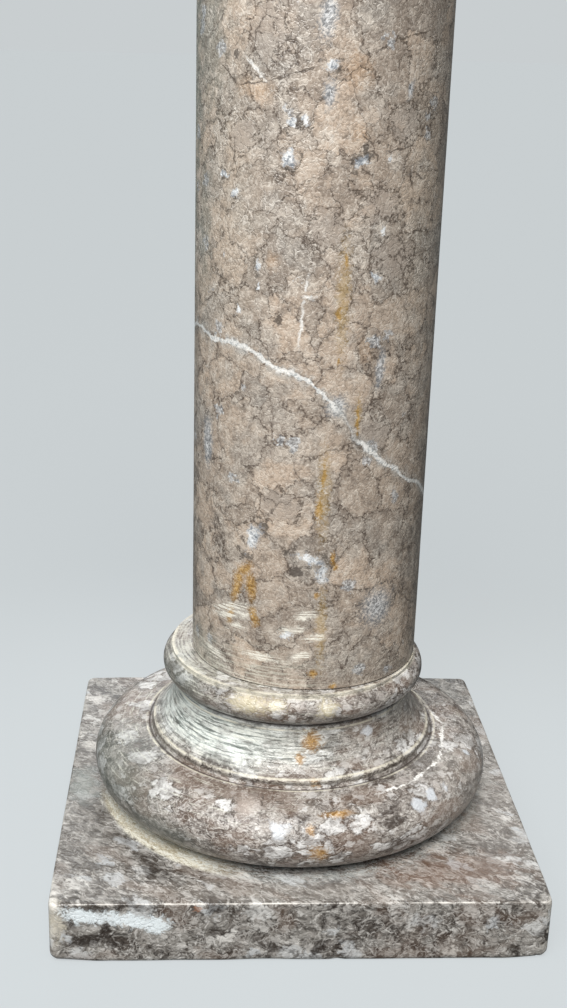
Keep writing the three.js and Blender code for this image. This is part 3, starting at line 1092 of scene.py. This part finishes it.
def base_marble(name, placed):
    """Grey and violet-brown breccia with pale clasts, turning marks and pale worn arrises."""
    marble, board, place = new_marble(name)
    flattened = board.move("MULTIPLY", place, BASE_FLATTENED)
    ground = breccia(board, flattened, BASE_GRAIN, "#332c28", "#645b55", "#99928c", "#d6d2cd")
    fine = ground["Fine"]
    soft = ground["Soft"]
    board.lay("#6f5747", board.fade(ground["Cloud"], 0.48, 0.62), 0.45)

    small = board.use(FLECKS, Place=flattened, Size=6.0, Share=0.34)
    large = board.use(CLASTS, Place=flattened, Size=14.0, Share=0.3, Ragged=13.0, Gap=0.03)
    small_colour = board.blend(small["Tone"], "#9b9089", "#d9d7d5")
    large_colour = board.blend(board.fade(soft, 0.36, 0.62), "#989593", "#dcdbda")
    board.lay(small_colour, small["Fleck"], 0.65)
    board.lay("#352c27", board.fade(ground["Cloud"], 0.5, 0.4), board.fade(soft, 0.58, 0.42), 0.65)
    board.lay(large_colour, large["Clast"], board.fade(fine, 0.36, 0.54, 0.35, 0.9))
    board.lay("#40362f", large["Outline"], board.fade(fine, 0.62, 0.44), 0.7)
    if placed:
        base_features(board, place, fine, soft)
    board.lay("#d8d2c4", board.attribute(WORN), board.fade(fine, 0.42, 0.56), 0.7)
    close_marble(board, board.fade(soft, 0.3, 0.7, 0.28, 0.46), flattened, BASE_GRAIN, 0.14)
    return marble


def base_features(board, place, fine, soft):
    """What shows at its own place on the base: deposits, clasts, stains, painted shade in creases, painted
    light and highlight, and the old filler.
    """
    ragged = board.use(RAGGED, Place=place, Coarse=2.0, Fine=1.0)["Ragged"]
    parts = board.parts(place)
    height = parts["Z"]
    unsteady = board.use(RAGGED, Place=place, Coarse=0.35, Fine=0.15)["Ragged"]
    marks = board.use(TURNING, Place=unsteady, Spacing=1.1, Length=22.0)["Marks"]
    hollow = board.times(board.fade(height, *HOLLOW_FOOT), board.fade(height, *HOLLOW_HEAD))
    left_front = board.fade(parts["X"], *CHALK_LEFTWARDS, 0.12, 0.88)
    chalky = board.blend(board.fade(marks, 0.38, 0.56), "#757f7b", "#e6ebe6")
    board.lay(chalky, hollow, left_front, board.fade(soft, 0.36, 0.56, 0.5, 1.0))
    # painted light on the right of the torus
    board.lay("#d9d3cb", spots(board, ragged, BASE_PAINTED_LIGHT, soft), 0.14)
    board.lay("#646b65", spots(board, place, BASE_GREENISH, None, 0.8), 0.5)
    low = board.fade(height, *STREAKS_RISE, 0.12, 0.75)
    left = board.fade(parts["X"], *STREAKS_LEFTWARDS, 0.35, 1.0)
    patchy = board.fade(soft, 0.4, 0.56, 0.25, 1.0)
    board.lay("#d9d9cc", board.fade(marks, 0.56, 0.64), low, left, patchy, 0.8)
    board.lay("#4f4842", board.fade(marks, 0.43, 0.36), low, left, 0.35)

    board.lay("#cfcec1", board.fade(height, *LEDGE_RISE), board.fade(marks, 0.4, 0.54), left, 0.4)
    board.lay("#d1c6a7", spots(board, ragged, BASE_CREAM, fine, 1.0), 0.7)
    board.lay("#cdbfb6", spots(board, ragged, BASE_PINKISH, soft, 1.0), 0.5)
    # white clasts, one partly a painted bluish highlight
    board.lay("#d6dbe2", spots(board, ragged, BASE_WHITE_AND_HIGHLIGHT, soft, 0.7), 0.7)
    gold = board.blend(board.fade(fine, 0.4, 0.62), "#86602a", "#c3933f")
    board.lay(gold, spots(board, ragged, BASE_OCHRE, fine), 0.8)
    board.lay("#5b544e", spots(board, ragged, BASE_PIT, None, 0.35), 0.7)
    light_lines = spots(board, ragged, BASE_WHITE_STROKES, None, 0.6)
    board.lay("#efede9", light_lines, board.fade(fine, 0.34, 0.46, 0.3, 1.0), 0.9)
    board.lay("#453b34", spots(board, ragged, BASE_DARK_STROKES, None, 0.5), 0.8)

    board.lay("#dbd5c3", rings(board, place, BASE_PALE_RINGS), board.fade(soft, 0.34, 0.54), 0.65)
    # painted shade in the creases
    board.lay("#3b332e", rings(board, place, BASE_CREASE_SHADE_RINGS), 0.8)
    old = board.blend(board.fade(marks, 0.35, 0.6), "#b0a68d", "#e6dfcc")
    board.lay(old, board.attribute(FILLER))


def plinth_marble(name, placed):
    """Darker grey-brown breccia with soft streaks and small pale clasts."""
    marble, board, place = new_marble(name)
    drawn = {"Vector": place, "Rotation": (0, 0, PLINTH_DRAWN_TURN), "Scale": PLINTH_DRAWN}
    drawn = board.put("Mapping", drawn, vector_type="TEXTURE").outputs["Vector"]
    ground = breccia(board, drawn, PLINTH_GRAIN, "#201c19", "#504943", "#898580", "#cfccc8")
    fine = ground["Fine"]
    soft = ground["Soft"]
    small = board.use(FLECKS, Place=drawn, Size=6.0, Share=0.34)
    board.lay(board.blend(small["Tone"], "#8a837d", "#d6d3cf"), small["Fleck"], 0.55)
    large = board.use(FLECKS, Place=drawn, Size=15.0, Share=0.3)
    large_colour = board.blend(large["Tone"], "#b7babd", "#dcd8d2")
    board.lay(large_colour, large["Fleck"], board.fade(fine, 0.36, 0.52, 0.25, 0.85))
    board.lay("#261f1b", board.fade(ground["Cloud"], 0.5, 0.4), board.fade(soft, 0.56, 0.42), 0.66)
    board.lay("#6f5a4c", board.fade(ground["Cloud"], 0.5, 0.64), 0.35)
    if placed:
        plinth_features(board, place, fine, soft)
    worn = board.fade(board.attribute(WORN), 0.35, 0.8)
    board.lay("#dcd8d1", worn, board.fade(soft, 0.42, 0.54), 0.8)
    close_marble(board, board.fade(soft, 0.3, 0.7, 0.26, 0.46), drawn, PLINTH_GRAIN, 0.14)
    return marble


def plinth_features(board, place, fine, soft):
    """What shows at its own place on the plinth: tints, repairs, painted light, shade and reflection, and
    the old filler round the torus.
    """
    ragged = board.use(RAGGED, Place=place, Coarse=2.4, Fine=1.2)["Ragged"]
    board.lay("#8a6853", spots(board, ragged, PLINTH_REDDISH, soft), 0.35)
    # painted light on the top, with pale streaks on the right
    board.lay("#d8cfc6", spots(board, ragged, PLINTH_PALE_STREAKS_AND_LIGHT, soft), 0.17)
    # painted shade on the left of the top
    board.lay("#57514a", spots(board, ragged, PLINTH_PAINTED_SHADE, soft), 0.42)
    board.lay("#2f2823", spots(board, ragged, PLINTH_DARK, soft), board.fade(fine, 0.6, 0.44), 0.45)
    # painted teal-grey reflection at the left of the top
    board.lay("#868f8b", spots(board, place, PLINTH_TEAL_REFLECTION, soft), 0.45)
    board.lay("#d3ccbd", spots(board, ragged, PLINTH_CREAM, fine, 0.8), 0.75)
    repair = spots(board, ragged, PLINTH_PATCH, fine, 0.6)
    board.lay("#e6eef2", repair, board.fade(fine, 0.34, 0.44, 0.6, 1.0), 0.95)
    board.lay("#ab7049", spots(board, ragged, PLINTH_ORANGE, fine, 0.35), 0.4)

    parts = board.parts(place)
    out = board.length(board.join(X=parts["X"], Y=parts["Y"]))
    angle = board.calc("DEGREES", board.calc("ARCTAN2", parts["X"], board.times(parts["Y"], -1.0)))
    marks = board.use(TURNING, Place=ragged, Spacing=1.3, Length=26.0)["Marks"]
    band = board.times(board.fade(angle, *FILLER_BEGINS), board.fade(angle, *FILLER_ENDS))
    edge = board.calc("ADD", FILLER_REACH, board.times(marks, FILLER_RAGGED))
    spread = board.fade(board.calc("SUBTRACT", edge, out), 0.0, 3.5)
    old = board.blend(board.fade(marks, 0.38, 0.6), "#aca28a", "#e8e2d0")
    board.lay(old, band, spread, 0.92)
    # painted reflection of the torus round its foot
    board.lay("#c5cbcb", board.fade(out, *TORUS_REFLECTION_FADE), board.fade(marks, 0.44, 0.6), 0.6)


# Building the column
plinth = square_slab("plinth", PLINTH_CORNER, PLINTH_TOP_ARRIS, PLINTH_BOTTOM_ARRIS, seed=3.1)
finish_stone("plinth", plinth, plinth_marble("plinth_breccia", True))

base = turned(base_section(), BASE_SIDES)
turn_by_hand(base, depth=0.35, seed=11.0)
chip_arris(base, STEP_RADIUS - 0.8, STEP_TOP - 0.6, reach=2.6, depth=0.8, share=0.5, seed=21.0)
chip_arris(base, TOP_FILLET_RADIUS, BASE_HEIGHT, reach=2.8, depth=0.9, share=0.55, seed=33.0)
pack_filler(base)
finish_stone("base_moulding", base, base_marble("base_breccia", True))

shaft = turned(shaft_section(extent("shaft")[1]), SHAFT_SIDES)
turn_by_hand(shaft, depth=0.2, seed=47.0)
chip_arris(shaft, SHAFT_RADIUS, 0.0, reach=3.0, depth=0.6, share=0.5, seed=51.0)
finish_stone("shaft", shaft, shaft_marble())

capital = turned(capital_section(), CAPITAL_SIDES, SOFTENED_ARRIS)
turn_by_hand(capital, depth=0.3, seed=61.0)
chip_arris(capital, LIP_RADIUS, ECHINUS_TOP, reach=2.4, depth=0.6, share=0.5, seed=67.0)
chip_arris(capital, COLLAR_RADIUS, COLLAR_TOP, reach=2.0, depth=0.5, share=0.5, seed=71.0)
finish_stone("capital", capital, base_marble("capital_breccia", False))

abacus = square_slab("abacus", ABACUS_CORNER, ABACUS_ARRIS, ABACUS_ARRIS, seed=8.3)
finish_stone("abacus", abacus, plinth_marble("abacus_breccia", False))


def pale_floor():
    """A wide plain floor, evenly lit as the camera sees it and darker where light bounces off it."""
    floor = bmesh.new()
    bmesh.ops.create_circle(floor, cap_ends=True, segments=FLOOR_SIDES, radius=FLOOR_RADIUS)
    mesh = bpy.data.meshes.new("floor")
    floor.to_mesh(mesh)
    floor.free()
    paint = bpy.data.materials.new("floor_paint")
    paint.use_nodes = True
    board = Board(paint.node_tree)
    shader = paint.node_tree.nodes["Principled BSDF"]
    seen = board.put("LightPath").outputs["Is Camera Ray"]
    away = board.length(board.put("TexCoord").outputs["Object"])
    glow = board.times(seen, board.fade(away, *FLOOR_GLOW_FADE, FLOOR_GLOW, FLOOR_NEAR_GLOW))
    sockets = {"Base Color": FLOOR_PAINT, "Roughness": 1.0, "Specular IOR Level": 0.0}
    sockets |= {"Emission Color": BACKDROP, "Emission Strength": glow}
    for name, value in sockets.items():
        board.feed(shader.inputs[name], value)
    mesh.materials.append(paint)
    show("floor", mesh)


def aim(piece, towards):
    """Turns a light to shine from a direction."""
    piece.rotation_euler = towards.to_track_quat("Z", "Y").to_euler()


def sun(name, azimuth, elevation, strength, spread, colour):
    """A soft distant light from a direction round the column, in degrees from the front."""
    lamp = bpy.data.lights.new(name, "SUN")
    lamp.energy = strength
    lamp.angle = math.radians(spread)
    lamp.color = linear(colour)[:3]
    turn = math.radians(azimuth)
    rise = math.radians(elevation)
    level = math.cos(rise)
    aim(show(name, lamp), Vector((math.sin(turn) * level, -math.cos(turn) * level, math.sin(rise))))


def soft_box():
    """A large soft light high in front, which lights the upper shaft more than the plinth."""
    lamp = bpy.data.lights.new("soft_box", "AREA")
    lamp.shape = "SQUARE"
    lamp.size = SOFT_BOX_SIZE
    lamp.energy = SOFT_BOX_POWER
    piece = show("soft_box", lamp)
    piece.location = SOFT_BOX_PLACE
    aim(piece, Vector(SOFT_BOX_PLACE) - Vector(SOFT_BOX_AIM))


def studio_air():
    """Soft light from all round, stronger from the left and above, and the backdrop the camera sees."""
    world = bpy.data.worlds.new("studio_air")
    bpy.context.scene.world = world
    world.use_nodes = True
    world.node_tree.nodes.clear()
    board = Board(world.node_tree)
    towards = board.put("TexCoord").outputs["Generated"]
    bright_side = board.put("VectorMath", {0: towards, 1: BRIGHT_SIDE}, operation="DOT_PRODUCT")
    strength = board.fade(bright_side.outputs["Value"], -1.0, 1.0, AIR_DIM, AIR_BRIGHT)
    seen = board.put("Background", {"Color": BACKDROP, "Strength": 1.0}).outputs["Background"]
    light = board.put("Background", {"Color": AIR_LIGHT, "Strength": strength}).outputs["Background"]
    ray = board.put("LightPath").outputs["Is Camera Ray"]
    both = board.put("MixShader", {0: ray, 1: light, 2: seen})
    board.put("OutputWorld", {"Surface": both.outputs["Shader"]})


def camera():
    """The camera at the photograph's place, tilt and lens."""
    lens = bpy.data.cameras.new("camera")
    lens.lens = LENS
    lens.sensor_width = SENSOR_WIDTH
    lens.shift_x = PICTURE_SHIFT
    lens.shift_y = PICTURE_SHIFT
    lens.clip_end = FAR_END
    piece = show("camera", lens)
    piece.location = CAMERA_PLACE
    piece.rotation_euler = [math.radians(turn) for turn in CAMERA_TURN]
    bpy.context.scene.camera = piece


pale_floor()
studio_air()
sun("key", azimuth=-3, elevation=54, strength=2.6, spread=32, colour="#fffaf2")
sun("window", azimuth=-25, elevation=72, strength=0.4, spread=9, colour="#d8eaff")
soft_box()
sun("rim", azimuth=-105, elevation=22, strength=0.2, spread=25, colour="#cfe9e2")
sun("back", azimuth=185, elevation=22, strength=0.9, spread=40, colour="#e4e6e6")
camera()
bpy.context.scene.view_settings.view_transform = "Standard"
